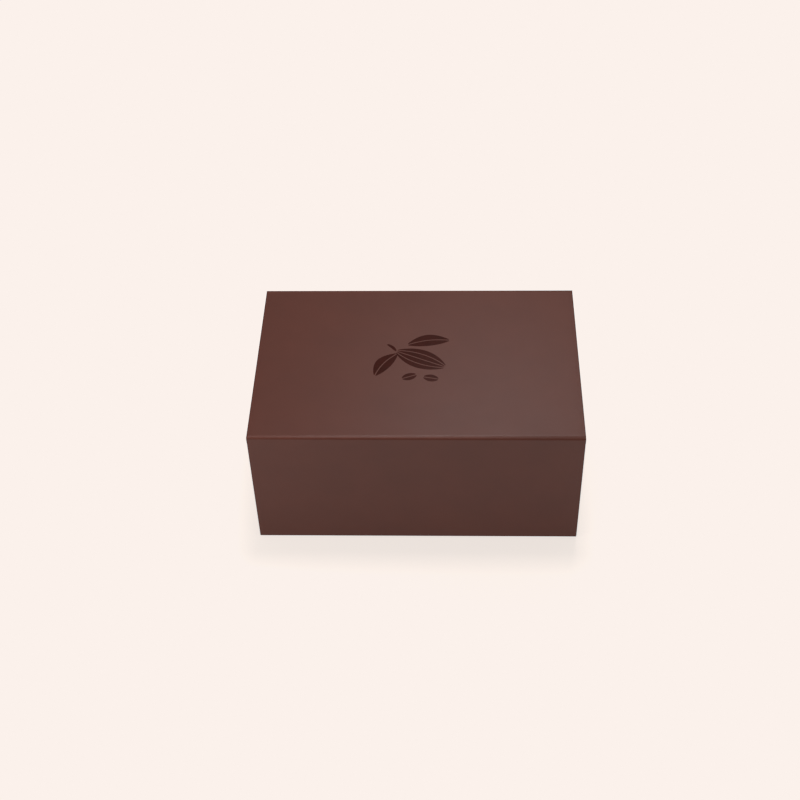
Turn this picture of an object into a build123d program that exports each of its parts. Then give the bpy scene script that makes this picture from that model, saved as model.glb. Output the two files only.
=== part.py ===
from build123d import *

import os

# A two-tier chocolate box. A board tray is glued into a paper-wrapped cover, whose lid is hinged
# along the back and ends in a magnetic front flap. Millimetres. X runs along the width,
# Y from front to back and Z up, with the origin in the middle of the footprint, on the table.

# The closed box
box_width = 165.0
box_depth = 110.0
box_height = 75.0

# Sheet stock
board = 1.5  # grey board of every stiff panel
paper = 0.15  # brown cover paper, which also wraps the tray
lining = 0.15  # paper that lines the lid, the flap and the tray's floor
fold_sheet = 0.3  # cover paper and lining pasted together where the cover folds
card = 0.6  # divider card
layer_card_thickness = 1.2  # stiffer card between the two tiers
stay_tape = 0.08  # gummed tape that holds the tray's corners

# Cover panels
turn_in = 12.0  # cover paper folded over onto a panel's inner face
fold_margin = 0.5  # the same at an edge where the cover folds on to the next panel
lining_inset = 2.5  # turned-in paper left showing round a lining
board_edge_radius = 0.2  # board edges crushed by wrapping
tray_margin = 0.6  # how far the cover stands past each side of the tray

# Folds of the cover
groove_half_width = 0.45  # the pressed groove where one panel's board ends and the next begins
groove_depth = 0.45
groove_mouth_radius = 0.2
groove_floor_radius = 0.12
groove_land = 0.1  # flat of the fold sheet below its groove
fold_play = 0.1  # between a fold sheet and the panel edge that it covers

# Running clearances
lid_play = 0.2  # lid over the tray's rim
flap_play = 0.3  # flap in front of the tray
flap_foot_play = 0.6  # flap above the table

# Magnetic closure
magnet_diameter = 10.0
magnet_thickness = 1.0
magnet_spacing = 100.0
magnet_height = 18.0  # above the table
magnet_play = 0.1  # round a magnet in its pocket

# Corner stays of the tray
stay_leg = 12.0
stay_inset = 5.0  # from the ends of a corner

# Tiers and dividers
cell_columns = 5
cell_rows = 3
headroom = 2.0  # above the upper tier, under the rim
insert_play = 0.3  # between the tiers and the tray's walls
slot_play = 0.1  # in a divider's slots, each way
slot_lead = 0.5  # flare at a slot's mouth
divider_corner_radius = 2.0
layer_corner_radius = 1.5
finger_notch_radius = 9.0  # in each end of the layer card

# Thicknesses of the finished panels
wrapped_panel = paper + board + paper
lined_panel = wrapped_panel + lining
arris_radius = board_edge_radius + paper

# Where the folds leave the panels
fold_half = fold_sheet / 2
fold_stand = fold_sheet + fold_play
fold_tail = groove_half_width + groove_mouth_radius + groove_land
lid_groove = lined_panel + groove_half_width
base_groove = wrapped_panel + groove_half_width
lid_fold_length = lid_groove + fold_tail
base_fold_length = base_groove + fold_tail
half_depth = box_depth / 2

# The tray inside the cover
tray_width = box_width - 2 * tray_margin
tray_front = -half_depth + lined_panel + flap_play
tray_back = half_depth - wrapped_panel
tray_depth = tray_back - tray_front
tray_middle = (tray_front + tray_back) / 2
tray_bottom = wrapped_panel
rim = box_height - lined_panel - lid_play
wall_bottom = tray_bottom + paper
wall_top = rim - paper
wall_height = wall_top - wall_bottom
floor_top = wall_bottom + board
board_width = tray_width - 2 * paper
board_depth = tray_depth - 2 * paper
inner_width = board_width - 2 * board
inner_depth = board_depth - 2 * board
cavity_width = inner_width - 2 * paper
cavity_depth = inner_depth - 2 * paper

# The two tiers inside the tray
insert_bottom = floor_top + lining
insert_top = rim - headroom
insert_width = cavity_width - 2 * insert_play
insert_depth = cavity_depth - 2 * insert_play
divider_height = (insert_top - insert_bottom - layer_card_thickness) / 2
layer_bottom = insert_bottom + divider_height
upper_tier_bottom = layer_bottom + layer_card_thickness
column_pitch = cavity_width / cell_columns
row_pitch = cavity_depth / cell_rows
column_lines = [(line - cell_columns / 2) * column_pitch for line in range(1, cell_columns)]
row_lines = [(line - cell_rows / 2) * row_pitch for line in range(1, cell_rows)]

# Extents of the cover panels between their folds
lid_front_edge = -half_depth + fold_stand
lid_back_edge = half_depth - fold_stand
lid_length = lid_back_edge - lid_front_edge
flap_top = box_height - lid_fold_length
flap_length = flap_top - flap_foot_play
spine_bottom = base_fold_length
spine_top = box_height - lid_fold_length
spine_length = spine_top - spine_bottom
base_length = lid_back_edge - tray_front

# Planes on the panels' outer faces, with local Y towards the back on the lid and upwards on the flap
lid_plane = Plane((0, 0, box_height), x_dir=(1, 0, 0), z_dir=(0, 0, 1))
flap_plane = Plane((0, -half_depth, (flap_foot_play + flap_top) / 2), x_dir=(1, 0, 0), z_dir=(0, -1, 0))
spine_plane = Plane((0, half_depth, (spine_bottom + spine_top) / 2), x_dir=(-1, 0, 0), z_dir=(0, 1, 0))
base_plane = Plane((0, (tray_front + lid_back_edge) / 2, 0), x_dir=(1, 0, 0), z_dir=(0, 0, -1))
tray_plane = Plane((0, tray_middle, 0))
tray_face_plane = Plane((0, tray_front + paper, (wall_bottom + wall_top) / 2), x_dir=(1, 0, 0), z_dir=(0, -1, 0))

os.makedirs("parts", exist_ok=True)


def save(maker, name):
    """Labels a finished sub-part and writes it under that name."""
    maker.part.label = name
    export_step(maker.part, f"parts/{name}.step")


# Cover panels


def panel_core(plane, length):
    """The board of one cover panel, under its cover paper, with the edges crushed round."""
    with BuildPart() as core:
        with BuildSketch(plane.offset(-paper)):
            Rectangle(box_width - 2 * paper, length - 2 * paper)
        extrude(amount=-board)
        fillet(core.edges(), board_edge_radius)
    return core


def stretch(length, low_margin, high_margin):
    """The middle and the length, along local Y, of what two margins leave of a panel."""
    low = -length / 2 + low_margin
    high = length / 2 - high_margin
    return (low + high) / 2, high - low


def panel_paper(plane, length, core, low_margin, high_margin):
    """The cover paper of one panel: its outer face, its edges and the strips turned in behind."""
    middle, window = stretch(length, low_margin, high_margin)
    with BuildPart() as sheet:
        with BuildSketch(plane):
            Rectangle(box_width, length)
        extrude(amount=-wrapped_panel)
        fillet(sheet.edges(), arris_radius)
        add(core.part, mode=Mode.SUBTRACT)
        with BuildSketch(plane.offset(-paper - board)):
            with Locations((0, middle)):
                Rectangle(box_width - 2 * turn_in, window)
        extrude(amount=-paper, mode=Mode.SUBTRACT)
    return sheet


def panel_lining(plane, length, low_margin, high_margin, low_inset, high_inset):
    """The lining of one panel: flat on its board, and stepped up over the turned-in paper."""
    middle, window = stretch(length, low_margin, high_margin)
    outline_middle, outline = stretch(length, low_inset, high_inset)
    window_width = box_width - 2 * turn_in
    board_face = plane.offset(-paper - board)
    with BuildPart() as sheet:
        with BuildSketch(board_face):
            with Locations((0, middle)):
                Rectangle(window_width, window)
        extrude(amount=-lining)
        with BuildSketch(board_face):
            with Locations((0, middle)):
                Rectangle(window_width, window)
                Rectangle(window_width - 2 * lining, window - 2 * lining, mode=Mode.SUBTRACT)
        extrude(amount=-paper - lining)
        with BuildSketch(plane.offset(-wrapped_panel)):
            with Locations((0, outline_middle)):
                Rectangle(box_width - 2 * lining_inset, outline)
            with Locations((0, middle)):
                Rectangle(window_width - 2 * lining, window - 2 * lining, mode=Mode.SUBTRACT)
        extrude(amount=-lining)
    return sheet


def fold(corner, inward, along, groove, length):
    """A fold of the cover, from its crease at a corner of the box to the edge of the next panel.

    The sheet covers the edge of the panel beside the corner, dips into the pressed groove and ends
    where it is pasted to the next panel. Its crease end is round, about the line that it folds on.
    """
    profile = Plane(corner, x_dir=inward, z_dir=Vector(*inward).cross(Vector(*along)))
    radii = [groove_mouth_radius, groove_floor_radius, groove_mouth_radius]
    with BuildPart() as strip:
        with BuildSketch(profile):
            with BuildLine():
                outer, inner = [
                    FilletPolyline(
                        (face, fold_half),
                        (face, groove - groove_half_width),
                        (face + groove_depth, groove),
                        (face, groove + groove_half_width),
                        (face, length),
                        radius=radii,
                    )
                    for face in (0, fold_sheet)
                ]
                Line(outer @ 1, inner @ 1)
                ThreePointArc(outer @ 0, (fold_half, 0), inner @ 0)
            make_face()
        extrude(amount=box_width / 2, both=True)
    return strip


# Magnets and strikers


def magnet_places(plane):
    """The centres of the two magnets or strikers, in the local X and Y of an upright face."""
    height = magnet_height - plane.origin.Z
    return [(-magnet_spacing / 2, height), (magnet_spacing / 2, height)]


def pocketed(core, face, depth):
    """A board with its two round pockets, cut to a signed depth from the given face."""
    with BuildPart() as pocketed_board:
        add(core.part)
        with BuildSketch(face):
            with Locations(*magnet_places(face)):
                Circle(magnet_diameter / 2 + magnet_play)
        extrude(amount=depth, mode=Mode.SUBTRACT)
    return pocketed_board


def disc(face, place, depth):
    """One round magnet or striker, flush with the given face and a signed depth thick."""
    with BuildPart() as slug:
        with BuildSketch(face):
            with Locations(place):
                Circle(magnet_diameter / 2)
        extrude(amount=depth)
    return slug


# Lid: board, cover paper and lining

lid_core = panel_core(lid_plane, lid_length)
save(lid_core, "lid_board")
save(panel_paper(lid_plane, lid_length, lid_core, fold_margin, fold_margin), "lid_cover_paper")
save(panel_lining(lid_plane, lid_length, fold_margin, fold_margin, fold_margin, fold_margin), "lid_lining")

# Front flap: board, two magnets, cover paper, lining and the fold that hinges it to the lid

flap_core = panel_core(flap_plane, flap_length)
flap_inner_face = flap_plane.offset(-paper - board)
save(pocketed(flap_core, flap_inner_face, magnet_thickness), "flap_board")
save(panel_paper(flap_plane, flap_length, flap_core, turn_in, fold_margin), "flap_cover_paper")
save(panel_lining(flap_plane, flap_length, turn_in, fold_margin, lining_inset, fold_margin), "flap_lining")
save(fold((0, -half_depth, box_height), (0, 1, 0), (0, 0, -1), lid_groove, lid_fold_length), "flap_fold")
for side, place in zip(("left", "right"), magnet_places(flap_inner_face)):
    save(disc(flap_inner_face, place, magnet_thickness), f"flap_magnet_{side}")

# Spine and base of the cover, with the folds at the spine's top and foot

spine_core = panel_core(spine_plane, spine_length)
save(spine_core, "spine_board")
save(panel_paper(spine_plane, spine_length, spine_core, fold_margin, fold_margin), "spine_cover_paper")
save(fold((0, half_depth, box_height), (0, -1, 0), (0, 0, -1), lid_groove, lid_fold_length), "lid_fold")

base_core = panel_core(base_plane, base_length)
save(base_core, "base_board")
save(panel_paper(base_plane, base_length, base_core, fold_margin, turn_in), "base_cover_paper")
save(fold((0, half_depth, 0), (0, -1, 0), (0, 0, 1), base_groove, base_fold_length), "base_fold")

# Tray: floor and walls of board


def rim_edges(maker):
    """The top edges of an open-topped ring, with the upright edges of its outer corners."""
    uprights = maker.edges().filter_by(Axis.Z).group_by(Axis.X)
    return maker.faces().sort_by(Axis.Z)[-1].edges() + uprights[0] + uprights[-1]


def tray_wall(ring, centre, width, depth):
    """One wall of the tray, cut out of the ring that the four walls make."""
    with BuildPart() as wall:
        add(ring.part)
        with BuildSketch(tray_plane.offset(wall_bottom)):
            with Locations(centre):
                Rectangle(width, depth)
        extrude(amount=wall_height, mode=Mode.INTERSECT)
    return wall


def corner_stay(x_side, y_side):
    """A strip of gummed tape folded round the outside of one corner, on the boards."""
    with BuildPart() as stay:
        with BuildSketch(tray_plane.offset(wall_bottom + stay_inset)):
            RectangleRounded(board_width + 2 * stay_tape, board_depth + 2 * stay_tape, board_edge_radius + stay_tape)
            RectangleRounded(board_width, board_depth, board_edge_radius, mode=Mode.SUBTRACT)
            with Locations((x_side * board_width / 2, y_side * board_depth / 2)):
                Rectangle(2 * stay_leg, 2 * stay_leg, mode=Mode.INTERSECT)
        extrude(amount=wall_height - 2 * stay_inset)
    return stay


with BuildPart() as wall_ring:
    with BuildSketch(tray_plane.offset(wall_bottom)):
        Rectangle(board_width, board_depth)
        Rectangle(inner_width, inner_depth, mode=Mode.SUBTRACT)
    extrude(amount=wall_height)
    fillet(rim_edges(wall_ring), board_edge_radius)

with BuildPart() as tray_floor_board:
    with BuildSketch(tray_plane.offset(wall_bottom)):
        Rectangle(inner_width, inner_depth)
    extrude(amount=board)

side_wall_x = (board_width - board) / 2
long_wall_y = (board_depth - board) / 2
front_wall = tray_wall(wall_ring, (0, -long_wall_y), board_width, board)
save(tray_floor_board, "tray_floor_board")
save(pocketed(front_wall, tray_face_plane, -magnet_thickness), "tray_front_board")
save(tray_wall(wall_ring, (0, long_wall_y), board_width, board), "tray_back_board")
save(tray_wall(wall_ring, (-side_wall_x, 0), board, inner_depth), "tray_left_board")
save(tray_wall(wall_ring, (side_wall_x, 0), board, inner_depth), "tray_right_board")
for side, place in zip(("left", "right"), magnet_places(tray_face_plane)):
    save(disc(tray_face_plane, place, -magnet_thickness), f"tray_striker_{side}")

corner_stays = {
    "front_left": corner_stay(-1, -1),
    "front_right": corner_stay(1, -1),
    "back_left": corner_stay(-1, 1),
    "back_right": corner_stay(1, 1),
}
for corner, stay in corner_stays.items():
    save(stay, f"corner_stay_{corner}")

# Tray: the paper that wraps its walls outside, over the rim and inside, and turns in underneath

with BuildPart() as tray_wrap:
    with BuildSketch(tray_plane.offset(tray_bottom)):
        Rectangle(tray_width, tray_depth)
    extrude(amount=rim - tray_bottom)
    with BuildSketch(tray_plane.offset(floor_top)):
        Rectangle(cavity_width, cavity_depth)
    extrude(amount=rim - floor_top, mode=Mode.SUBTRACT)
    fillet(rim_edges(tray_wrap), arris_radius)
    add(wall_ring.part, mode=Mode.SUBTRACT)
    add(tray_floor_board.part, mode=Mode.SUBTRACT)
    for stay in corner_stays.values():
        add(stay.part, mode=Mode.SUBTRACT)
    with BuildSketch(tray_plane.offset(tray_bottom)):
        Rectangle(tray_width - 2 * turn_in, tray_depth - 2 * turn_in)
    extrude(amount=paper, mode=Mode.SUBTRACT)
save(tray_wrap, "tray_wrap")

with BuildPart() as tray_floor_lining:
    with BuildSketch(tray_plane.offset(floor_top)):
        Rectangle(cavity_width, cavity_depth)
    extrude(amount=lining)
save(tray_floor_lining, "tray_floor_lining")

# Tiers: half-slotted dividers below and above a layer card that lifts out by its finger notches


def divider(plane, length, crossings, slot_side):
    """A divider card on edge, with a slot at each crossing.

    Slots open upwards where slot_side is 1 and downwards where it is -1.
    """
    slot_width = card + 2 * slot_play
    slot_depth = divider_height / 2 + slot_play
    slot_middle = slot_side * (divider_height - slot_depth) / 2
    with BuildPart() as strip:
        with BuildSketch(plane) as outline:
            RectangleRounded(length, divider_height, divider_corner_radius)
            with Locations(*[(crossing, slot_middle) for crossing in crossings]):
                Rectangle(slot_width, slot_depth, mode=Mode.SUBTRACT)
            mouths = outline.vertices().filter_by_position(
                Axis.X, -length / 2 + divider_corner_radius, length / 2 - divider_corner_radius, (False, False)
            )
            chamfer(mouths.group_by(Axis.Y)[-1 if slot_side > 0 else 0], slot_lead)
        extrude(amount=card / 2, both=True)
    return strip


with BuildPart() as layer_card:
    with BuildSketch(tray_plane.offset(layer_bottom)):
        RectangleRounded(insert_width, insert_depth, layer_corner_radius)
        with Locations((-insert_width / 2, 0), (insert_width / 2, 0)):
            Circle(finger_notch_radius, mode=Mode.SUBTRACT)
    extrude(amount=layer_card_thickness)
save(layer_card, "layer_card")

for tier, tier_bottom in (("lower", insert_bottom), ("upper", upper_tier_bottom)):
    tier_middle = tier_bottom + divider_height / 2
    for number, line in enumerate(row_lines, start=1):
        row_plane = Plane((0, tray_middle + line, tier_middle), x_dir=(1, 0, 0), z_dir=(0, -1, 0))
        save(divider(row_plane, insert_width, column_lines, 1), f"{tier}_long_divider_{number}")
    for number, line in enumerate(column_lines, start=1):
        column_plane = Plane((line, tray_middle, tier_middle), x_dir=(0, 1, 0), z_dir=(1, 0, 0))
        save(divider(column_plane, insert_depth, row_lines, -1), f"{tier}_cross_divider_{number}")
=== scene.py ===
"""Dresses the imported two-tier chocolate box and sets it in a plain studio.

The box is a board tray in a paper-wrapped cover, whose lid ends in a magnetic front flap. Sizes are in
millimetres unless a name says otherwise, and Blender works in metres. The frame is the box's own: X along
the width, Y from front to back, Z up, with the origin under the middle of the box.
"""

import logging
import math
from dataclasses import dataclass, field
from enum import Enum
from typing import Any

import bmesh
import bpy
from mathutils import Matrix, Vector

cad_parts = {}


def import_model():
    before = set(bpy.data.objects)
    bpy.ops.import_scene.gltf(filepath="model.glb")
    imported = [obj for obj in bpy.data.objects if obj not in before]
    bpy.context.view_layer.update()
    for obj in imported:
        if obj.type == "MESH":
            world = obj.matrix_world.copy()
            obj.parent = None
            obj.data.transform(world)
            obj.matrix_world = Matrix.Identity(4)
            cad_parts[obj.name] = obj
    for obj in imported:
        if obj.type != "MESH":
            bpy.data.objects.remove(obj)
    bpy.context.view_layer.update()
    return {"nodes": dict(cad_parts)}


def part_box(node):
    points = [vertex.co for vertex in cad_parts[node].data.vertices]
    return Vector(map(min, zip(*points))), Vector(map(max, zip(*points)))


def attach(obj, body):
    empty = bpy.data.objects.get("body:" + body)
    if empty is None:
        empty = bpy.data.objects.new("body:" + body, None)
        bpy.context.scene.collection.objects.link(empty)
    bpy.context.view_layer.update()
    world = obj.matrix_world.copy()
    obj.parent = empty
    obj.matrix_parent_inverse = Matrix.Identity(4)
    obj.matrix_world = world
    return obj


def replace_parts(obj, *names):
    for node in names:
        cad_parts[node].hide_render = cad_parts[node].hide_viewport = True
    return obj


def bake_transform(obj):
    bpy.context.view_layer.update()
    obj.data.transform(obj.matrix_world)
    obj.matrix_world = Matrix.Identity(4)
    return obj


MM = 0.001
IMAGE_WIDTH = 800
SENSOR_WIDTH = 36.0
REST_PLACE = "rest_place"
SMOOTH_ANGLE = math.radians(32)
FINE = 3.0  # detail of a pattern that is seen close up

LOG = logging.getLogger("chocolate_box")

Flat = tuple[float, float]
Place = tuple[float, float, float]
Colour = tuple[float, float, float, float]
Nodes = dict[str, bpy.types.Object]


class Lies(Enum):
    """Where a finish finds its place on the box."""

    STIFF = "on a panel that keeps its shape"
    FOLDED = "on a sheet that bends at a fold, by where it lay when flat"


class Runs(Enum):
    """Which way a fold's upright side runs from its corner."""

    DOWN = -1
    UP = 1


def linear(hex_colour: str) -> Colour:
    """Turns an sRGB hex colour to linear.

    Args:
        hex_colour: A colour such as "#5e403a".

    Returns:
        Linear red, green and blue, and an alpha of 1.
    """
    channels = [int(hex_colour[i : i + 2], 16) / 255 for i in (1, 3, 5)]
    low, steep, shift, power = 0.04045, 12.92, 0.055, 2.4
    red, green, blue = (c / steep if c <= low else ((c + shift) / (1 + shift)) ** power for c in channels)
    return red, green, blue, 1.0


def shade(colour: Colour, factor: float) -> Colour:
    """Makes a colour lighter or darker."""
    red, green, blue = (channel * factor for channel in colour[:3])
    return red, green, blue, 1.0


def add_node(
    tree: bpy.types.NodeTree, kind: str, inputs: dict[str | int, Any] | None = None, **settings: Any
) -> bpy.types.Node:
    """Adds one node with its settings and links.

    Args:
        tree: The node tree that gets the node.
        kind: Blender's name of the node's type.
        inputs: What each input gets, by name or number: a value, or the output that it is linked to.
        **settings: The node's own properties.

    Returns:
        The new node.
    """
    node = tree.nodes.new(kind)
    for name, value in settings.items():
        setattr(node, name, value)
    for name, value in (inputs or {}).items():
        if isinstance(value, bpy.types.NodeSocket):
            tree.links.new(value, node.inputs[name])
        else:
            node.inputs[name].default_value = value
    return node


def smooth_step(low: float, high: float, value: float) -> float:
    """Rises smoothly from 0 at low to 1 at high."""
    share = min(1.0, max(0.0, (value - low) / (high - low)))
    return share * share * (3 - 2 * share)


def unsteady(place: float, seed: float) -> float:
    """A slow hand-made waver along a length.

    Args:
        place: Where on the length, in millimetres.
        seed: Which waver.

    Returns:
        A number from about -1 to 1.
    """
    long_wave, middle_wave, short_wave = 61.0, 23.0, 9.0
    return (
        0.5 * math.sin(2 * math.pi * place / long_wave + 1.7 * seed)
        + 0.32 * math.sin(2 * math.pi * place / middle_wave + 4.1 * seed)
        + 0.18 * math.sin(2 * math.pi * place / short_wave + 2.9 * seed)
    )


@dataclass(frozen=True)
class Finish:
    """A surface of the box: its stock, its colour and how it takes the light.

    The roughness and the IOR are typical values for the stock, matched to the object.
    """

    name: str
    colour: str
    roughness: float
    lies: Lies = Lies.STIFF
    ior: float = 1.5
    metallic: float = 0.0

    def material(self) -> bpy.types.Material:
        """Builds the finish as a Blender material, or gives back the one built before."""
        made = bpy.data.materials.get(self.name)
        if made is None:
            made = bpy.data.materials.new(self.name)
            made.use_nodes = True
            tree = made.node_tree
            tree.nodes.clear()
            skin = add_node(tree, "ShaderNodeBsdfPrincipled", {
                "Base Color": linear(self.colour), "Roughness": self.roughness, "Metallic": self.metallic,
            })
            if not self.metallic:
                skin.inputs["IOR"].default_value = self.ior
            add_node(tree, "ShaderNodeOutputMaterial", {"Surface": skin.outputs["BSDF"]})
            self.dress(tree, skin, self.place(tree))
        return made

    def place(self, tree: bpy.types.NodeTree) -> bpy.types.NodeSocket:
        """Gives the output that says where on the box a point lies, in metres."""
        if self.lies is Lies.FOLDED:
            return add_node(tree, "ShaderNodeAttribute", attribute_name=REST_PLACE).outputs["Vector"]
        return add_node(tree, "ShaderNodeTexCoord").outputs["Object"]

    def dress(self, tree: bpy.types.NodeTree, skin: bpy.types.Node, place: bpy.types.NodeSocket) -> None:
        """Adds the finish's own pattern to its plain skin. Each finish says how."""


def uneven(
    tree: bpy.types.NodeTree,
    place: bpy.types.NodeSocket,
    size: float,
    low: float,
    high: float,
    detail: float = 2.0,
) -> bpy.types.NodeSocket:
    """Makes a value that wanders over a surface without a pattern.

    Args:
        tree: The finish's node tree.
        place: Where a point lies, in metres.
        size: How far it is from one patch to the next, in millimetres.
        low: The least value.
        high: The greatest value.
        detail: How many times finer patches lie in the coarse ones.

    Returns:
        The output that carries the value.
    """
    patches = add_node(tree, "ShaderNodeTexNoise", {
        "Vector": place, "Scale": 1 / (size * MM), "Detail": detail, "Roughness": 0.55,
    })
    spread = add_node(tree, "ShaderNodeMapRange", {
        "Value": patches.outputs["Factor" if "Factor" in patches.outputs else "Fac"],
        "From Min": 0.3, "From Max": 0.7, "To Min": low, "To Max": high,
    })
    return spread.outputs["Result"]


def between(
    tree: bpy.types.NodeTree, value: bpy.types.NodeSocket, start: float, end: float
) -> bpy.types.NodeSocket:
    """Makes a soft edge: 0 where a place is at start, in millimetres, and 1 where it is at end."""
    ramp = add_node(tree, "ShaderNodeMapRange", {
        "Value": value, "From Min": start * MM, "From Max": end * MM, "To Min": 0.0, "To Max": 1.0,
    }, interpolation_type="SMOOTHSTEP")
    return ramp.outputs["Result"]


def product(tree: bpy.types.NodeTree, *values: bpy.types.NodeSocket | float) -> bpy.types.NodeSocket:
    """Multiplies values that share one surface."""
    result = values[0]
    for value in values[1:]:
        times = add_node(tree, "ShaderNodeMath", {0: result, 1: value}, operation="MULTIPLY")
        result = times.outputs["Value"]
    return result


def tone(
    tree: bpy.types.NodeTree, share: bpy.types.NodeSocket, first: Any, second: Any
) -> bpy.types.NodeSocket:
    """Goes from a first colour to a second by a share of 0 to 1."""
    mix = add_node(tree, "ShaderNodeMix", {0: share, 6: first, 7: second}, data_type="RGBA")
    return mix.outputs[2]


def roughen(
    tree: bpy.types.NodeTree,
    skin: bpy.types.Node,
    height: bpy.types.NodeSocket,
    depth: float,
    strength: float,
) -> None:
    """Gives a skin its fine relief.

    Args:
        tree: The finish's node tree.
        skin: The finish's shader.
        height: Relief from 0 to 1.
        depth: How high a relief of 1 stands, in millimetres.
        strength: The share of it that shows.
    """
    bump = add_node(tree, "ShaderNodeBump", {"Height": height, "Distance": depth * MM, "Strength": strength})
    tree.links.new(bump.outputs["Normal"], skin.inputs["Normal"])


@dataclass(frozen=True)
class LaminatedPaper(Finish):
    """Cocoa-brown printed paper under a soft-touch polypropylene film, laid on by hot roller.

    The film scatters the light wide, so the paper looks matt and even, with a faint velvet at a low angle. Its
    haze is turned down towards the foot of the upright panels: painted shade, darker towards the bottom.
    It is worn a little smoother along the folds at the lid's long edges, and paler there on the left and in
    the
    middle: partly wear, partly a painted highlight.
    """

    # the paler colour along the folds: partly wear, partly a painted highlight
    worn_and_highlit: str = "#5a2e23"
    cloud_size: float = 21.0
    patch_size: float = 6.0
    tooth_size: float = 0.5  # the film's tooth is 0.02 mm, drawn this coarse so that it shows close up
    tooth_depth: float = 0.012
    tooth_share: float = 0.35
    clouding: float = 0.045  # of the print's strength, either way
    edge_depth: float = 55.0
    edge_height: float = 75.0
    wear_and_highlight_across: Flat = (2.4, 0.7)  # in from the fold, where the wear and painted highlight start and where they are full
    wear_and_highlight_down: Flat = (1.0, 0.5)
    wear_and_highlight_along: Flat = (62.0, 18.0)  # from the middle of the box, where they have faded out on the right and where they are full
    wear_and_highlight_patches: Flat = (0.45, 1.0)
    polish: float = 0.12
    gloss_spread: float = 0.012
    haze: Flat = (0.36, 0.5)  # specular level at the foot and at the top; lower at the foot as painted shade
    sheen: Flat = (0.02, 0.45)  # weight and roughness

    def dress(self, tree: bpy.types.NodeTree, skin: bpy.types.Node, place: bpy.types.NodeSocket) -> None:
        """Adds the print's clouding, worn folds with a painted highlight, hazy film with painted shade, and
        tooth.
        """
        base = linear(self.colour)
        pale = shade(base, 1 + self.clouding)
        dull = shade(base, 1 - self.clouding)
        clouds = uneven(tree, place, self.cloud_size, 0.0, 1.0)
        printed = tone(tree, clouds, dull, pale)

        spot = add_node(tree, "ShaderNodeSeparateXYZ", {"Vector": place})
        depthwise = add_node(tree, "ShaderNodeMath", {0: spot.outputs["Y"]}, operation="ABSOLUTE")
        across = depthwise.outputs["Value"]
        at_edge = between(tree, across, *(self.edge_depth - inward for inward in self.wear_and_highlight_across))
        at_top = between(tree, spot.outputs["Z"], *(self.edge_height - down for down in self.wear_and_highlight_down))
        worn_and_lit_along = between(tree, spot.outputs["X"], *self.wear_and_highlight_along)
        patches = uneven(tree, place, self.patch_size, *self.wear_and_highlight_patches)
        # painted highlight mixed with real wear: paler along the lid's front and back folds, on the left and
        # middle
        wear_and_highlight = product(tree, at_edge, at_top, worn_and_lit_along, patches)
        worn_and_highlit = tone(tree, wear_and_highlight, printed, linear(self.worn_and_highlit))

        tree.links.new(worn_and_highlit, skin.inputs["Base Color"])
        # painted shade: the film's reflection weakens towards the foot, so the upright panels darken towards
        # the bottom
        painted_shade_haze = add_node(tree, "ShaderNodeMapRange", {
            "Value": spot.outputs["Z"], "From Max": self.edge_height * MM,
            "To Min": self.haze[0], "To Max": self.haze[1],
        })
        tree.links.new(painted_shade_haze.outputs["Result"], skin.inputs["Specular IOR Level"])
        low, high = self.roughness - self.gloss_spread, self.roughness + self.gloss_spread
        gloss = uneven(tree, place, self.patch_size, low, high, FINE)
        polish = add_node(tree, "ShaderNodeMath", {
            0: wear_and_highlight, 1: -self.polish, 2: gloss,
        }, operation="MULTIPLY_ADD")
        tree.links.new(polish.outputs["Value"], skin.inputs["Roughness"])
        skin.inputs["Sheen Weight"].default_value, skin.inputs["Sheen Roughness"].default_value = self.sheen
        tooth = uneven(tree, place, self.tooth_size, 0.0, 1.0, FINE)
        roughen(tree, skin, tooth, self.tooth_depth, self.tooth_share)


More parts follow.
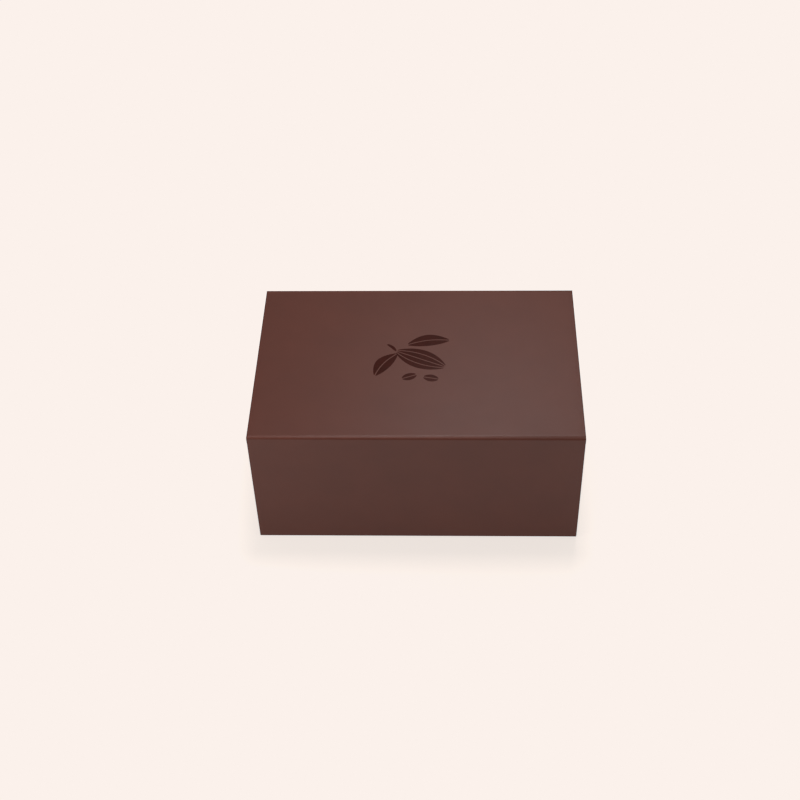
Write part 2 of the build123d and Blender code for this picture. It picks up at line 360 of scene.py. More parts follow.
@dataclass(frozen=True)
class UncoatedPaper(Finish):
    """Dyed, uncoated paper, made on a wire: dry and fibrous, with no film, so it has next to no gloss.

    Where a disc lies under it, the paste has drawn the paper down in a faint ring.
    """

    fibre_length: float = 2.2
    fibre_width: float = 0.35
    tooth_size: float = 0.45
    tooth_depth: float = 0.03
    relief_share: float = 0.5
    dye_spread: Flat = (0.88, 1.14)
    sheen: Flat = (0.08, 0.6)  # weight and roughness
    disc_radius: float = 5.1
    disc_edge: Flat = (0.5, -0.3)  # beyond the radius, where the ring starts and where it is full
    disc_share: float = 0.8  # of the relief over a disc; the tooth has the rest
    disc_relief: float = 0.06
    disc_spacing: float = 100.0
    disc_height: float = 18.0
    over_discs: bool = False

    def dress(self, tree: bpy.types.NodeTree, skin: bpy.types.Node, place: bpy.types.NodeSocket) -> None:
        """Adds the fibres, the dye's unevenness, the tooth and any rings."""
        base = linear(self.colour)
        dark, light = (shade(base, factor) for factor in self.dye_spread)
        drawn = add_node(tree, "ShaderNodeMapping", {
            "Vector": place, "Scale": (self.fibre_width / self.fibre_length, 1.0, 1.0),
        })
        fibres = uneven(tree, drawn.outputs["Vector"], self.fibre_width, 0.0, 1.0, FINE)
        dye = tone(tree, fibres, dark, light)
        tree.links.new(dye, skin.inputs["Base Color"])
        skin.inputs["Sheen Weight"].default_value, skin.inputs["Sheen Roughness"].default_value = self.sheen
        relief = uneven(tree, place, self.tooth_size, 0.0, 1.0, FINE)
        depth = self.tooth_depth
        if self.over_discs:
            relief = product(tree, relief, 1 - self.disc_share)
            spot = add_node(tree, "ShaderNodeSeparateXYZ", {"Vector": place})
            aside = add_node(tree, "ShaderNodeMath", {0: spot.outputs["X"]}, operation="ABSOLUTE")
            off_x = add_node(tree, "ShaderNodeMath", {
                0: aside.outputs["Value"], 1: self.disc_spacing / 2 * MM,
            }, operation="SUBTRACT")
            off_z = add_node(tree, "ShaderNodeMath", {
                0: spot.outputs["Z"], 1: self.disc_height * MM,
            }, operation="SUBTRACT")
            offset = add_node(tree, "ShaderNodeCombineXYZ", {
                "X": off_x.outputs["Value"], "Z": off_z.outputs["Value"],
            })
            away = add_node(tree, "ShaderNodeVectorMath", {0: offset.outputs["Vector"]}, operation="LENGTH")
            edge = (self.disc_radius + beyond for beyond in self.disc_edge)
            inside = between(tree, away.outputs["Value"], *edge)
            raised = add_node(tree, "ShaderNodeMath", {
                0: inside, 1: self.disc_share, 2: relief,
            }, operation="MULTIPLY_ADD")
            relief = raised.outputs["Value"]
            depth = self.disc_relief
        roughen(tree, skin, relief, depth, self.relief_share)


@dataclass(frozen=True)
class GreyBoard(Finish):
    """Solid board made of waste paper, calendered: dull grey with dark flecks, fuzzy where it is cut."""

    pale: str = "#a7a199"
    fleck: str = "#6f6a64"
    cloud_size: float = 7.0
    fleck_size: float = 0.9
    fleck_edge: Flat = (160.0, 60.0)  # in thousandths of the flecks' spacing
    felt_size: float = 0.3
    felt_depth: float = 0.04
    felt_share: float = 0.6

    def dress(self, tree: bpy.types.NodeTree, skin: bpy.types.Node, place: bpy.types.NodeSocket) -> None:
        """Adds the flecks of old print and the felted tooth."""
        clouds = uneven(tree, place, self.cloud_size, 0.0, 1.0)
        grey = tone(tree, clouds, linear(self.colour), linear(self.pale))
        cells = add_node(tree, "ShaderNodeTexVoronoi", {"Vector": place, "Scale": 1 / (self.fleck_size * MM)})
        fleck = between(tree, cells.outputs["Distance"], *self.fleck_edge)
        tree.links.new(tone(tree, fleck, grey, linear(self.fleck)), skin.inputs["Base Color"])
        felt = uneven(tree, place, self.felt_size, 0.0, 1.0, FINE)
        roughen(tree, skin, felt, self.felt_depth, self.felt_share)


@dataclass(frozen=True)
class DieCutCard(Finish):
    """Brown clay-coated card, die-cut: smooth, silky faces, and cut edges that show the paler core."""

    core: str = "#8d6a52"
    core_faces: Place = (0.0, 0.0, 1.0)
    core_shade: float = 0.72
    fibre_size: float = 0.25
    coat_size: float = 9.0
    coat_spread: Flat = (0.93, 1.07)
    relief_size: float = 0.8
    relief_depth: float = 0.015
    relief_share: float = 0.4

    def dress(self, tree: bpy.types.NodeTree, skin: bpy.types.Node, place: bpy.types.NodeSocket) -> None:
        """Adds the coating's unevenness and the core on the faces that the die cut."""
        base = linear(self.colour)
        dark, light = (shade(base, factor) for factor in self.coat_spread)
        coated = tone(tree, uneven(tree, place, self.coat_size, 0.0, 1.0), dark, light)
        core = linear(self.core)
        deep = shade(core, self.core_shade)
        fibres = tone(tree, uneven(tree, place, self.fibre_size, 0.0, 1.0, FINE), deep, core)
        facing = add_node(tree, "ShaderNodeTexCoord").outputs["Normal"]
        turned = add_node(tree, "ShaderNodeVectorMath", {
            0: facing, 1: self.core_faces,
        }, operation="DOT_PRODUCT")
        squared = add_node(tree, "ShaderNodeMath", {0: turned.outputs["Value"], 1: 2.0}, operation="POWER")
        cut = add_node(tree, "ShaderNodeMath", {0: squared.outputs["Value"], 1: 0.5}, operation="LESS_THAN")
        tree.links.new(tone(tree, cut.outputs["Value"], coated, fibres), skin.inputs["Base Color"])
        relief = uneven(tree, place, self.relief_size, 0.0, 1.0, FINE)
        roughen(tree, skin, relief, self.relief_depth, self.relief_share)


@dataclass(frozen=True)
class GummedTape(Finish):
    """Kraft paper tape with a dried gum: tan, slightly ribbed along its length by the paper machine."""

    speck: str = "#b58f62"
    speck_size: float = 0.7
    speck_detail: float = 4.0
    rib_spacing: float = 0.6
    rib_bend: float = 0.6
    rib_depth: float = 0.02
    rib_share: float = 0.4
    waves_per_unit: float = 20.0  # of Blender's wave texture at a scale of 1

    def dress(self, tree: bpy.types.NodeTree, skin: bpy.types.Node, place: bpy.types.NodeSocket) -> None:
        """Adds the kraft's specks and its ribs."""
        specks = uneven(tree, place, self.speck_size, 0.0, 1.0, self.speck_detail)
        tree.links.new(tone(tree, specks, linear(self.colour), linear(self.speck)), skin.inputs["Base Color"])
        ribs = add_node(tree, "ShaderNodeTexWave", {
            "Vector": place, "Scale": 1 / (self.rib_spacing * MM * self.waves_per_unit),
            "Distortion": self.rib_bend,
        }, bands_direction="Z")
        roughen(tree, skin, ribs.outputs["Color"], self.rib_depth, self.rib_share)


@dataclass(frozen=True)
class PlatedMetal(Finish):
    """A stamped or sintered disc under a plated coat: clean metal with a soft tumbled grain."""

    grain_size: float = 0.35
    grain_depth: float = 0.01
    grain_share: float = 0.3
    smear_size: float = 2.5
    smear_spread: Flat = (-0.05, 0.12)  # of the roughness

    def dress(self, tree: bpy.types.NodeTree, skin: bpy.types.Node, place: bpy.types.NodeSocket) -> None:
        """Adds the tumbled grain and the smears of paste left on the disc."""
        low, high = (self.roughness + change for change in self.smear_spread)
        tree.links.new(uneven(tree, place, self.smear_size, low, high, FINE), skin.inputs["Roughness"])
        grain = uneven(tree, place, self.grain_size, 0.0, 1.0)
        roughen(tree, skin, grain, self.grain_depth, self.grain_share)


@dataclass(frozen=True)
class GlossVarnish(Finish):
    """Dark brown ink under a thin spot varnish, screen printed: near black, with a faint gloss."""

    thin_ink: str = "#330f08"
    ink_size: float = 5.0
    pool_size: float = 1.6
    pool_depth: float = 0.012
    pool_share: float = 0.4
    glint: str = "#ffc8bc"
    gloss: float = 0.06
    varnish: Flat = (0.04, 0.2)  # weight and roughness

    def dress(self, tree: bpy.types.NodeTree, skin: bpy.types.Node, place: bpy.types.NodeSocket) -> None:
        """Adds the ink's unevenness and the varnish's orange peel."""
        clouds = uneven(tree, place, self.ink_size, 0.0, 1.0)
        ink = tone(tree, clouds, linear(self.colour), linear(self.thin_ink))
        tree.links.new(ink, skin.inputs["Base Color"])
        skin.inputs["Specular IOR Level"].default_value = self.gloss
        skin.inputs["Specular Tint"].default_value = linear(self.glint)
        skin.inputs["Coat Weight"].default_value, skin.inputs["Coat Roughness"].default_value = self.varnish
        roughen(tree, skin, uneven(tree, place, self.pool_size, 0.0, 1.0), self.pool_depth, self.pool_share)


@dataclass(frozen=True)
class OpalTable(Finish):
    """The studio's table: matt opal acrylic lit from below, cast and sanded, which keeps shadows pale.

    It glows more where the lamps no longer reach, so that it runs evenly into the room.
    """

    glow: float = 0.745
    far_glow: float = 0.88
    near: float = 420.0
    far: float = 1100.0
    tooth_size: float = 1.5
    tooth_spread: float = 0.05
    warmth: Colour = (1.0, 0.99, 0.965, 1.0)

    def dress(self, tree: bpy.types.NodeTree, skin: bpy.types.Node, place: bpy.types.NodeSocket) -> None:
        """Adds the light from below and the sanding's fine tooth."""
        skin.inputs["Emission Color"].default_value = self.warmth
        away = add_node(tree, "ShaderNodeVectorMath", {0: place}, operation="LENGTH").outputs["Value"]
        lit = add_node(tree, "ShaderNodeMapRange", {
            "Value": away, "From Min": self.near * MM, "From Max": self.far * MM,
            "To Min": self.glow, "To Max": self.far_glow,
        }, interpolation_type="SMOOTHSTEP")
        tree.links.new(lit.outputs["Result"], skin.inputs["Emission Strength"])
        skin.inputs["Specular IOR Level"].default_value = 0.0
        low, high = self.roughness - self.tooth_spread, self.roughness + self.tooth_spread
        tooth = uneven(tree, place, self.tooth_size, low, high)
        tree.links.new(tooth, skin.inputs["Roughness"])


COVER_PAPER = LaminatedPaper("soft_touch_laminated_cocoa_paper", "#4e2418", 0.42, ior=1.33)
FOLDED_COVER_PAPER = LaminatedPaper(
    "soft_touch_laminated_cocoa_paper_folded", "#4e2418", 0.42, lies=Lies.FOLDED, ior=1.33
)
LINING_PAPER = UncoatedPaper("uncoated_dyed_lining_paper", "#6e5348", 0.85)
FOLDED_LINING_PAPER = UncoatedPaper("uncoated_dyed_lining_paper_folded", "#6e5348", 0.85, lies=Lies.FOLDED)
FLAP_LINING_PAPER = UncoatedPaper("uncoated_dyed_lining_paper_over_discs", "#6e5348", 0.85, over_discs=True)
BOARD = GreyBoard("calendered_grey_board", "#9c968e", 0.92)
LONG_DIVIDER_CARD = DieCutCard("die_cut_brown_card_long", "#785a48", 0.62, core_faces=(0.0, 1.0, 0.0))
CROSS_DIVIDER_CARD = DieCutCard("die_cut_brown_card_cross", "#785a48", 0.62, core_faces=(1.0, 0.0, 0.0))
LAYER_CARD = DieCutCard("die_cut_brown_card_layer", "#785a48", 0.62)
STAY_TAPE = GummedTape("kraft_gummed_tape", "#a98158", 0.8)
NICKEL_PLATE = PlatedMetal("nickel_plated_magnet", "#cec9c1", 0.22, metallic=1.0)
ZINC_STEEL = PlatedMetal("zinc_plated_stamped_steel", "#b4b4b6", 0.34, metallic=1.0)
VARNISH_PRINT = GlossVarnish("spot_varnished_dark_ink", "#2c0d06", 0.34)
OPAL_TABLE = OpalTable("sanded_opal_acrylic", "#9a9a9a", 0.8)


def paint(node: bpy.types.Object, finish: Finish) -> None:
    """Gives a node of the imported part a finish, and leaves its mesh alone."""
    if not node.material_slots:
        node.data.materials.append(None)
    for place in node.material_slots:
        place.link = "OBJECT"
        place.material = finish.material()


def new_piece(name: str, form: bmesh.types.BMesh, *finishes: Finish) -> bpy.types.Object:
    """Turns a finished form into a shown piece.

    Args:
        name: The piece's name.
        form: Its mesh, in metres in the box's frame. It is freed.
        *finishes: Its finishes, in the order of its faces' material numbers.

    Returns:
        The new object, with its places kept as the way it lay at rest.
    """
    bmesh.ops.recalc_face_normals(form, faces=form.faces)
    mesh = bpy.data.meshes.new(name)
    form.to_mesh(mesh)
    form.free()
    mesh.shade_smooth()
    mesh.set_sharp_from_angle(angle=SMOOTH_ANGLE)
    rest = mesh.attributes.new(REST_PLACE, "FLOAT_VECTOR", "POINT")
    rest.data.foreach_set("vector", [length for vertex in mesh.vertices for length in vertex.co])
    piece = bpy.data.objects.new(name, mesh)
    bpy.context.scene.collection.objects.link(piece)
    for finish in finishes:
        mesh.materials.append(finish.material())
    return piece


def prism(form: bmesh.types.BMesh, outline: list[Vector], rise: Vector) -> None:
    """Adds a thin plate to a form.

    Args:
        form: The mesh that gets it.
        outline: The plate's outline at its low face, in metres.
        rise: From the low face to the high one.
    """
    low = [form.verts.new(point) for point in outline]
    high = [form.verts.new(point + rise) for point in outline]
    form.faces.new(list(reversed(low)))
    form.faces.new(high)
    for i in range(len(outline)):
        j = (i + 1) % len(outline)
        form.faces.new((low[i], low[j], high[j], high[i]))


@dataclass
class EdgeRoll:
    """How wrapping and handling have crushed one long edge of the lid down towards its fold."""

    start: float = 52.6  # from the middle of the box
    edges: Flat = (53.6, 53.15)  # where the strip down to the fold begins, at the left and right ends
    slopes: Flat = (0.394, 0.51)  # of the strip
    ease: float = 0.2
    approach: float = 0.085  # the paper's slope just before the strip, where it is greatest
    approach_ends: tuple[float, float, float, float] = (-72.0, -45.0, 12.0, 44.0)
    tuck: float = 54.4  # where the paper tucks in under the fold's sheet
    tuck_slope: float = 1.9
    half_width: float = 82.5
    depth: float = 1.2  # how deep the crushing reaches into the board
    margin: float = 0.4
    last_cut: float = 54.16
    steps: int = 13

    def from_left(self, ends: Flat, x: float) -> float:
        """Goes evenly from a value at the left end to one at the right end."""
        return ends[0] + (ends[1] - ends[0]) * (x + self.half_width) / (2 * self.half_width)

    def slope(self, x: float) -> float:
        """How steeply the strip sinks towards the fold."""
        return self.from_left(self.slopes, x)

    def sink(self, x: float, across: float) -> float:
        """How far the top has sunk at a place.

        Args:
            x: Along the fold.
            across: From the middle of the box, towards the front or the back.

        Returns:
            The drop.
        """
        rise, full, still_full, fall = self.approach_ends
        gentle = self.approach * smooth_step(rise, full, x) * (1 - smooth_step(still_full, fall, x))
        edge = self.from_left(self.edges, x)
        run = min(max(0.0, abs(across) - self.start), edge - self.start)
        beyond = max(0.0, abs(across) - edge)
        eased = min(beyond, self.ease)
        steeper = (self.slope(x) - gentle) * (eased * eased / (2 * self.ease) + beyond - eased)
        tucked = self.tuck_slope * max(0.0, abs(across) - self.tuck)
        return gentle * run * run / (2 * (edge - self.start)) + gentle * beyond + steeper + tucked

    def cuts(self) -> list[float]:
        """Where the paper needs a line of edges to take the roll, from the middle of the box."""
        span = self.last_cut - self.start
        even = [self.start + span * step / self.steps for step in range(self.steps + 1)]
        return [self.start - self.margin, *even, self.tuck]


@dataclass
class Fold:
    """The cover's sheet where it turns round one long corner of the box, creased beside it."""

    name: str
    side: int  # -1 at the front, 1 at the back
    corner_height: float
    runs: Runs
    reach: float  # down the upright panel
    roll: EdgeRoll | None = None
    half_depth: float = 55.0
    half_width: float = 82.5
    lap: float = 0.9  # from the corner in over the flat panel
    bend_start: float = 0.75
    first_turn: float = 0.4  # length of sheet from the flat panel's slope to the facet's
    facet: float = 46.0  # its slope, in degrees
    last_turn: float = 0.55  # length of sheet from the facet to the upright panel
    waver: float = 2.0  # of the facet's slope along the fold, in degrees
    thickness: float = 0.3
    clearance: float = 0.355  # in to the flat panel's edge
    panel_corner: float = 0.9  # down to where the flat panel's edge is upright
    feather: float = 0.003
    paste: float = 0.015  # thickness of the sheet where it lies on a panel
    thick_from: Flat = (0.45, 0.05)  # in from the corner, where it starts to thicken and where it is full
    end_taper: float = 0.45  # above the end on the upright panel
    flat_steps: int = 3
    turn_steps: int = 8
    stations: int = 132

    def point(self, x: float, inward: float, along: float) -> Vector:
        """A place in the box's frame, from how far in and how far along the upright panel it lies."""
        y = self.side * (self.half_depth - inward)
        z = self.corner_height + self.runs.value * along
        return Vector((x, y, z)) * MM

    def sunk(self, x: float, inward: float) -> float:
        """How far the flat panel has sunk at a distance in from the corner."""
        return self.roll.sink(x, self.half_depth - inward) if self.roll else 0.0

    def outer(self, x: float) -> list[Flat]:
        """The sheet's outer face in section, from the flat panel round to the upright one."""
        points = []
        for step in range(self.flat_steps):
            inward = self.lap + (self.bend_start - self.lap) * step / self.flat_steps
            points.append((inward, self.sunk(x, inward) - self.feather))
        slope = math.atan(self.roll.slope(x)) if self.roll else 0.0
        facet = math.radians(self.facet + self.waver * unsteady(x, self.side))
        steps = self.turn_steps
        shares = [smooth_step(0.0, steps, step + 0.5) for step in range(steps)]
        first = [(slope + (facet - slope) * share, self.first_turn / steps) for share in shares]
        last = [(facet + (math.pi / 2 - facet) * share, self.last_turn / steps) for share in shares]
        turned = sum(length * math.cos(angle) for angle, length in first + last)
        straight = (self.bend_start - turned) / math.cos(facet)
        inward, along = self.bend_start, self.sunk(x, self.bend_start) - self.feather
        points.append((inward, along))
        for angle, length in [*first, (facet, straight), *last]:
            inward -= length * math.cos(angle)
            along += length * math.sin(angle)
            points.append((inward, along))
        points.append((0.0, (along + self.reach) / 2))
        points.append((-self.feather, self.reach))
        return points

    def inner(self, outer: list[Flat]) -> list[Flat]:
        """The sheet's inner face in section, point for point behind the outer one."""
        points = []
        for number, (inward, along) in enumerate(outer):
            before = outer[max(0, number - 1)]
            after = outer[min(len(outer) - 1, number + 1)]
            run = Vector((after[0] - before[0], after[1] - before[1])).normalized()
            behind = Vector((run.y, -run.x))
            round_the_corner = smooth_step(*self.thick_from, inward)
            edge = smooth_step(0.0, self.end_taper, self.reach - along)
            depth = self.paste + (self.thickness - self.paste) * round_the_corner * edge
            if along > self.panel_corner:
                points.append((max(inward + self.paste, self.clearance * edge), along))
            else:
                points.append((min(inward + behind.x * depth, self.lap), along + abs(behind.y) * depth))
        return points

    def build(self) -> bpy.types.Object:
        """Builds the folded sheet from end to end."""
        form = bmesh.new()
        rings = []
        for station in range(self.stations + 1):
            x = self.half_width * (2 * station / self.stations - 1)
            outer = self.outer(x)
            inner = self.inner(outer)
            rings.append([
                [form.verts.new(self.point(x, *place)) for place in outer],
                [form.verts.new(self.point(x, *place)) for place in inner],
            ])
        last = len(rings[0][0]) - 1
        for here, there in zip(rings, rings[1:]):
            for layer in (0, 1):
                for i in range(last):
                    j = i + 1
                    face = form.faces.new((here[layer][i], here[layer][j], there[layer][j], there[layer][i]))
                    face.material_index = layer
            for i in (0, last):
                form.faces.new((here[0][i], here[1][i], there[1][i], there[0][i]))
        for ring in (rings[0], rings[-1]):
            for i in range(last):
                form.faces.new((ring[0][i], ring[0][i + 1], ring[1][i + 1], ring[1][i]))
        piece = new_piece(self.name, form, FOLDED_COVER_PAPER, FOLDED_LINING_PAPER)
        return piece


@dataclass(frozen=True)
class Blade:
    """One pointed form of the print, such as a pod or a leaf, cut into strips by lines from tip to tip."""

    length: float
    width: float
    place: Flat  # from the motif's centre
    turn: float  # in degrees
    bow: float = 0.0  # how far the middle is bent aside
    fullness: float = 0.8  # a lower number gives blunter tips
    lines: tuple[float, ...] = (-1.0, 0.0, 1.0)  # across it, from edge to edge
    gap: float = 0.55
    least: float = 0.08  # no strip is drawn narrower
    curve_steps: int = 28

    def strip(self, low: float, high: float) -> list[Flat]:
        """One strip between two lines, with its tips on the X axis.

        Args:
            low: Where the strip begins across the blade, from -1 to 1.
            high: Where it ends across it.

        Returns:
            The strip's outline.
        """
        upper, lower = [], []
        for step in range(self.curve_steps + 1):
            t = step / self.curve_steps
            swell = self.width / 2 * math.sin(math.pi * t) ** self.fullness
            first = low * swell + (self.gap / 2 if low > -1 else 0.0)
            second = high * swell - (self.gap / 2 if high < 1 else 0.0)
            if second - first > self.least:
                x = (t - 0.5) * self.length
                bend = self.bow * math.sin(math.pi * t)
                lower.append((x, first + bend))
                upper.append((x, second + bend))
        return lower + upper[::-1]

    def strips(self) -> list[list[Flat]]:
        """All its strips."""
        return [self.strip(low, high) for low, high in zip(self.lines, self.lines[1:])]


@dataclass
class CocoaMotif:
    """The lid's printed motif: a ribbed cocoa pod with two leaves and two beans."""

    centre: Flat = (-1.5, 0.3)
    top: float = 75.0
    proud: float = 0.02
    sunk: float = 0.02
    pod: Blade = Blade(29.0, 13.4, (3.2, 0.6), -25.0, fullness=0.72, lines=(-1.0, -0.52, 0.0, 0.52, 1.0))
    stem: Blade = Blade(7.2, 1.7, (-11.9, 9.1), -47.0, bow=0.5, fullness=0.4, lines=(-1.0, 1.0))
    back_leaf: Blade = Blade(23.0, 8.4, (7.2, 13.0), 9.0, bow=1.7)
    left_leaf: Blade = Blade(20.5, 8.2, (-14.4, -3.6), -124.0, bow=-1.6)
    left_bean: Blade = Blade(8.2, 4.9, (-2.4, -12.4), 22.0, fullness=0.6)
    right_bean: Blade = Blade(8.2, 4.9, (8.6, -13.4), -12.0, fullness=0.6)

    def build(self) -> bpy.types.Object:
        """Builds the printed film, with its underside let into the paper."""
        form = bmesh.new()
        rise = Vector((0.0, 0.0, (self.proud + self.sunk) * MM))
        for blade in (self.pod, self.stem, self.back_leaf, self.left_leaf, self.left_bean, self.right_bean):
            right, back = blade.place
            placed = Matrix.Translation((self.centre[0] + right, self.centre[1] + back, self.top - self.sunk))
            placed @= Matrix.Rotation(math.radians(blade.turn), 4, "Z")
            for outline in blade.strips():
                prism(form, [(placed @ Vector((x, y, 0.0))) * MM for x, y in outline], rise)
        piece = new_piece("lid_cocoa_print", form, VARNISH_PRINT)
        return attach(piece, "lid")


@dataclass
class Cover:
    """The wrapped cover: lid, front flap, spine and base, and the folds that join them."""

    height: float = 75.0
    lid_reach: float = 3.5
    base_reach: float = 3.35
    front_grips: tuple[Flat, Flat] = ((0.9, 0.35), (0.0, 1.25))  # in and down, on the lid and on the flap
    back_grips: tuple[Flat, Flat] = ((0.9, 0.0), (0.0, 0.9))  # the same, on the lid and on the spine
    half_width: float = 82.5
    stations: int = 40
    weld: float = 0.0005
    rolls: dict[int, EdgeRoll] = field(default_factory=lambda: {
        -1: EdgeRoll(),
        1: EdgeRoll(
            start=53.9,
            edges=(54.1, 54.1),
            slopes=(0.22, 0.22),
            approach=0.0,
            tuck=54.55,
            last_cut=54.4,
            steps=5,
        ),
    })

    def dress_panels(self, nodes: Nodes) -> None:
        """Gives the panels' boards, papers and linings their finishes."""
        for panel in ("lid", "flap", "spine", "base"):
            paint(nodes[f"{panel}_board"], BOARD)
            paint(nodes[f"{panel}_cover_paper"], COVER_PAPER)
        for name in ("flap_fold", "lid_fold", "base_fold"):
            paint(nodes[name], COVER_PAPER)
        paint(nodes["lid_lining"], LINING_PAPER)
        paint(nodes["flap_lining"], FLAP_LINING_PAPER)

    def crush_edges(self, nodes: Nodes, node: str, name: str, finish: Finish) -> bpy.types.Object:
        """Builds a sheet of the lid with its front and back edges crushed down towards their folds.

        Args:
            nodes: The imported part's nodes.
            node: The plain sheet.
            name: What the crushed one is called.
            finish: What it is made of.

        Returns:
            The crushed sheet, on the lid in place of the plain one.
        """
        form = bmesh.new()
        form.from_mesh(nodes[node].data)
        bmesh.ops.remove_doubles(form, verts=form.verts, dist=self.weld * MM)
        across = Vector((0.0, 1.0, 0.0))
        along = Vector((1.0, 0.0, 0.0))
        planes = [(across, side * cut) for side, roll in self.rolls.items() for cut in roll.cuts()]
        planes += [(along, self.half_width * (2 * i / self.stations - 1)) for i in range(1, self.stations)]
        for normal, distance in planes:
            bmesh.ops.bisect_plane(
                form,
                geom=form.verts[:] + form.edges[:] + form.faces[:],
                plane_co=normal * distance * MM,
                plane_no=normal,
            )
        for vertex in form.verts:
            place = vertex.co / MM
            roll = self.rolls[1 if place.y > 0 else -1]
            share = (place.z - (self.height - roll.depth)) / roll.depth
            if share > 0:
                vertex.co.z -= roll.sink(place.x, place.y) * share * MM
        piece = new_piece(name, form, finish)
        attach(piece, "lid")
        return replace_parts(piece, node)

    def build(self, nodes: Nodes) -> list[bpy.types.Object]:
        """Dresses the cover and builds its paper, its folds and its print."""
        self.dress_panels(nodes)
        paper = self.crush_edges(nodes, "lid_cover_paper", "lid_wrapping_paper", COVER_PAPER)
        board = self.crush_edges(nodes, "lid_board", "lid_grey_board", BOARD)
        front = Fold(
            "flap_crease_sheet", -1, self.height, Runs.DOWN, self.lid_reach, self.rolls[-1],
            bend_start=0.6, first_turn=0.16, facet=54.0,
        )
        back = Fold(
            "lid_crease_sheet", 1, self.height, Runs.DOWN, self.lid_reach, self.rolls[1],
            bend_start=0.45, first_turn=0.25, last_turn=0.3,
        )
        foot = Fold("base_crease_sheet", 1, 0.0, Runs.UP, self.base_reach).build()
        front_on_lid, front_on_flap = (front.point(0.0, *grip) for grip in self.front_grips)
        back_on_lid, back_on_spine = (back.point(0.0, *grip) for grip in self.back_grips)
        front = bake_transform(front.build())
        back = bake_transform(back.build())
        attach(foot, "base")
        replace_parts(front, "flap_fold")
        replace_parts(back, "lid_fold")
        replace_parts(foot, "base_fold")
        return [paper, board, front, back, foot, CocoaMotif().build()]


@dataclass
class Tray:
    """The wrapped board tray that the cover is glued round."""

    lap_width: float = 12.0
    lap_thickness: float = 0.1
    lap_inset: float = 1.0
    lap_let_in: float = 0.02
    lap_from_back: float = 9.0

    def dress(self, nodes: Nodes) -> None:
        """Gives the tray's boards, stays and papers their finishes."""
        for wall in ("floor", "front", "back", "left", "right"):
            paint(nodes[f"tray_{wall}_board"], BOARD)
        for corner in ("front_left", "front_right", "back_left", "back_right"):
            paint(nodes[f"corner_stay_{corner}"], STAY_TAPE)
        paint(nodes["tray_wrap"], COVER_PAPER)
        paint(nodes["tray_floor_lining"], LINING_PAPER)

    def wrap_lap(self) -> bpy.types.Object:
        """Builds the end of the tray's wrap, pasted over its beginning on the right wall."""
        low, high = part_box("tray_wrap")
        back = high.y - self.lap_from_back * MM
        front = back - self.lap_width * MM
        bottom = low.z + self.lap_inset * MM
        top = high.z - self.lap_inset * MM
        x = high.x - self.lap_let_in * MM
        form = bmesh.new()
        corners = ((front, bottom), (back, bottom), (back, top), (front, top))
        outline = [Vector((x, y, z)) for y, z in corners]
        prism(form, outline, Vector((self.lap_thickness * MM, 0.0, 0.0)))
        piece = new_piece("tray_wrap_lap", form, COVER_PAPER)
        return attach(piece, "base")

    def build(self, nodes: Nodes) -> list[bpy.types.Object]:
        """Dresses the tray and builds its lap."""
        self.dress(nodes)
        return [self.wrap_lap()]


@dataclass
class Tiers:
    """The dividers of both tiers and the layer card between them."""

    long_dividers: int = 2
    cross_dividers: int = 4

    def build(self, nodes: Nodes) -> list[bpy.types.Object]:
        """Gives the cards their finishes. They need no other piece."""
        for tier in ("lower", "upper"):
            for number in range(1, self.long_dividers + 1):
                paint(nodes[f"{tier}_long_divider_{number}"], LONG_DIVIDER_CARD)
            for number in range(1, self.cross_dividers + 1):
                paint(nodes[f"{tier}_cross_divider_{number}"], CROSS_DIVIDER_CARD)
        paint(nodes["layer_card"], LAYER_CARD)
        return []


@dataclass
class MagneticClosure:
    """The two magnets in the flap and their strikers in the tray's front wall."""

    sides: tuple[str, str] = ("left", "right")

    def build(self, nodes: Nodes) -> list[bpy.types.Object]:
        """Gives the discs their finishes. They need no other piece."""
        for side in self.sides:
            paint(nodes[f"flap_magnet_{side}"], NICKEL_PLATE)
            paint(nodes[f"tray_striker_{side}"], ZINC_STEEL)
        return []


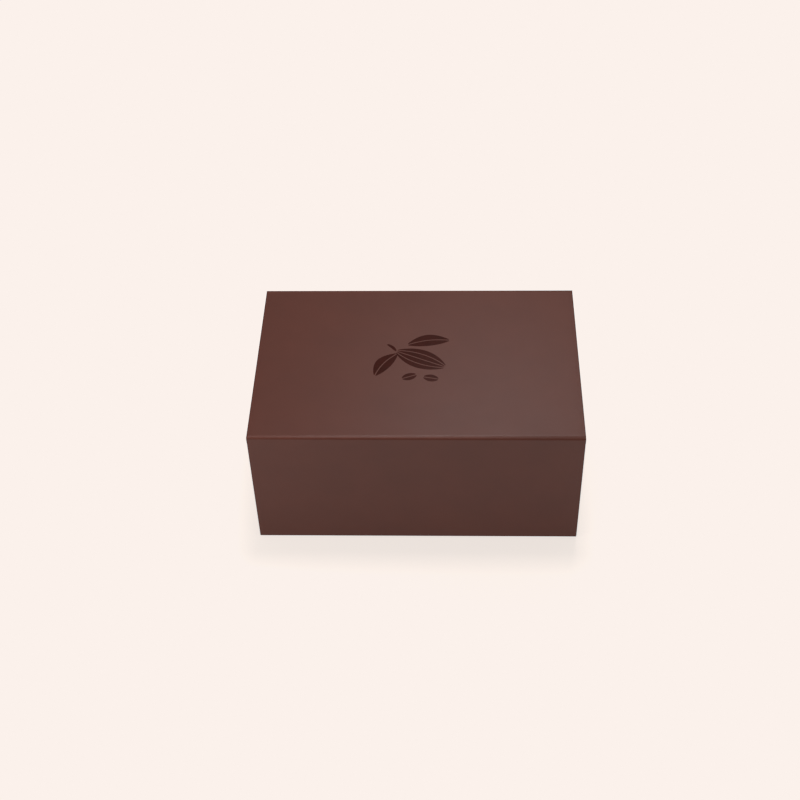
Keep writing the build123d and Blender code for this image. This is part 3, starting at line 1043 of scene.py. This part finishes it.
@dataclass
class Studio:
    """The camera, the table and the lights round the box."""

    focal_length_px: float = 1391.55
    camera_place: Place = (16.09, -517.79, 565.02)
    camera_turns: Place = (-45.0274, 1.9585, 2.8364)  # about X, Y and Z, in degrees
    clip: Flat = (0.01, 50.0)  # in metres
    table_radius: float = 4000.0
    table_thickness: float = 10.0
    table_drop: float = 0.05
    table_sides: int = 96
    aim: Place = (0.0, 0.0, 50.0)
    horizon_glow: float = 1.0
    ceiling_glow: float = 0.42
    cove_low: float = 0.05  # sine of the height where the cove starts to darken
    cove_high: float = 0.12
    key_place: Place = (40.0, 204.0, 1175.0)
    key_size: float = 220.0
    key_watts: float = 7.03
    card_place: Place = (61.0, 287.0, 480.0)
    card_size: float = 175.0
    card_watts: float = 0.485
    fill_place: Place = (-190.0, -160.0, 130.0)
    fill_size: float = 110.0
    fill_watts: float = 0.115
    film_white: str = "#fbf1eb"
    film_knee: float = 0.5  # up to here the film is straight

    def camera(self) -> bpy.types.Object:
        """Builds the camera."""
        lens = bpy.data.cameras.new("camera")
        lens.sensor_width = SENSOR_WIDTH
        lens.lens = self.focal_length_px * SENSOR_WIDTH / IMAGE_WIDTH
        lens.clip_start, lens.clip_end = self.clip
        about_x, about_y, about_z = (math.radians(turn) for turn in self.camera_turns)
        turned = Matrix.Rotation(about_z, 3, "Z") @ Matrix.Rotation(about_x, 3, "X")
        turned @= Matrix.Rotation(about_y, 3, "Y")
        right, forward, up = turned.col
        camera = bpy.data.objects.new("camera", lens)
        axes = Matrix((right, up, -forward)).transposed().to_4x4()
        camera.matrix_world = Matrix.Translation(Vector(self.camera_place) * MM) @ axes
        bpy.context.scene.collection.objects.link(camera)
        bpy.context.scene.camera = camera
        return camera

    def table(self) -> bpy.types.Object:
        """Builds the table's top as a wide round sheet just under the box."""
        form = bmesh.new()
        rim = [
            Vector((math.cos(turn), math.sin(turn), 0.0)) * self.table_radius * MM
            for turn in (2 * math.pi * step / self.table_sides for step in range(self.table_sides))
        ]
        down = Vector((0.0, 0.0, self.table_thickness * MM))
        prism(form, [point - down for point in rim], down - Vector((0.0, 0.0, self.table_drop * MM)))
        top = new_piece("studio_table", form, OPAL_TABLE)
        return top

    def softbox(self, name: str, place: Place, size: float, watts: float) -> None:
        """Hangs one white, square softbox that points at the middle of the box.

        Args:
            name: The light's name.
            place: Where it hangs.
            size: The length of its sides.
            watts: Its power.
        """
        lamp = bpy.data.lights.new(name, "AREA")
        lamp.shape = "SQUARE"
        lamp.size = size * MM
        lamp.energy = watts
        hung = bpy.data.objects.new(name, lamp)
        hung.visible_camera = False
        facing = (Vector(self.aim) - Vector(place)).to_track_quat("-Z", "Y")
        hung.matrix_world = Matrix.Translation(Vector(place) * MM) @ facing.to_matrix().to_4x4()
        bpy.context.scene.collection.objects.link(hung)

    def light(self) -> None:
        """Lights the box from a pale room and three softboxes."""
        world = bpy.data.worlds.new("pale_room")
        world.use_nodes = True
        world.node_tree.nodes.clear()
        tree = world.node_tree
        toward = add_node(tree, "ShaderNodeTexCoord").outputs["Generated"]
        height = add_node(tree, "ShaderNodeSeparateXYZ", {"Vector": toward})
        glow = add_node(tree, "ShaderNodeMapRange", {
            "Value": height.outputs["Z"], "From Min": self.cove_low, "From Max": self.cove_high,
            "To Min": self.horizon_glow, "To Max": self.ceiling_glow,
        }, interpolation_type="SMOOTHSTEP")
        room = add_node(tree, "ShaderNodeBackground", {"Strength": glow.outputs["Result"]})
        room.inputs["Color"].default_value = (1.0, 1.0, 1.0, 1.0)
        add_node(tree, "ShaderNodeOutputWorld", {"Surface": room.outputs["Background"]})
        bpy.context.scene.world = world
        self.softbox("key_softbox", self.key_place, self.key_size, self.key_watts)
        self.softbox("gloss_card", self.card_place, self.card_size, self.card_watts)
        self.softbox("fill_softbox", self.fill_place, self.fill_size, self.fill_watts)

    def film(self) -> None:
        """Sets how the film takes the light: straight in the dark half, and white going to a warm cream."""
        view = bpy.context.scene.view_settings
        view.view_transform = "Standard"
        view.look = "None"
        view.use_curve_mapping = True
        curves = view.curve_mapping
        curves.extend = "HORIZONTAL"
        for curve, white in zip(curves.curves, linear(self.film_white)[:3]):
            curve.points[0].location = (0.0, 0.0)
            curve.points[-1].location = (1.0, white)
            curve.points.new(self.film_knee, self.film_knee)
            for point in curve.points:
                point.handle_type = "VECTOR"
        curves.update()

    def build(self, nodes: Nodes) -> list[bpy.types.Object]:
        """Sets up the camera, the table, the lights and the film."""
        self.light()
        self.film()
        return [self.camera(), self.table()]


def main() -> None:
    """Builds every sub-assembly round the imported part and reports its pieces."""
    logging.basicConfig(level=logging.INFO, format="%(name)s: %(message)s")
    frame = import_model()
    for part in (Cover(), Tray(), Tiers(), MagneticClosure(), Studio()):
        for piece in part.build(frame["nodes"]):
            LOG.info("%s has %s", type(part).__name__, piece.name)


if __name__ == "__main__":
    main()
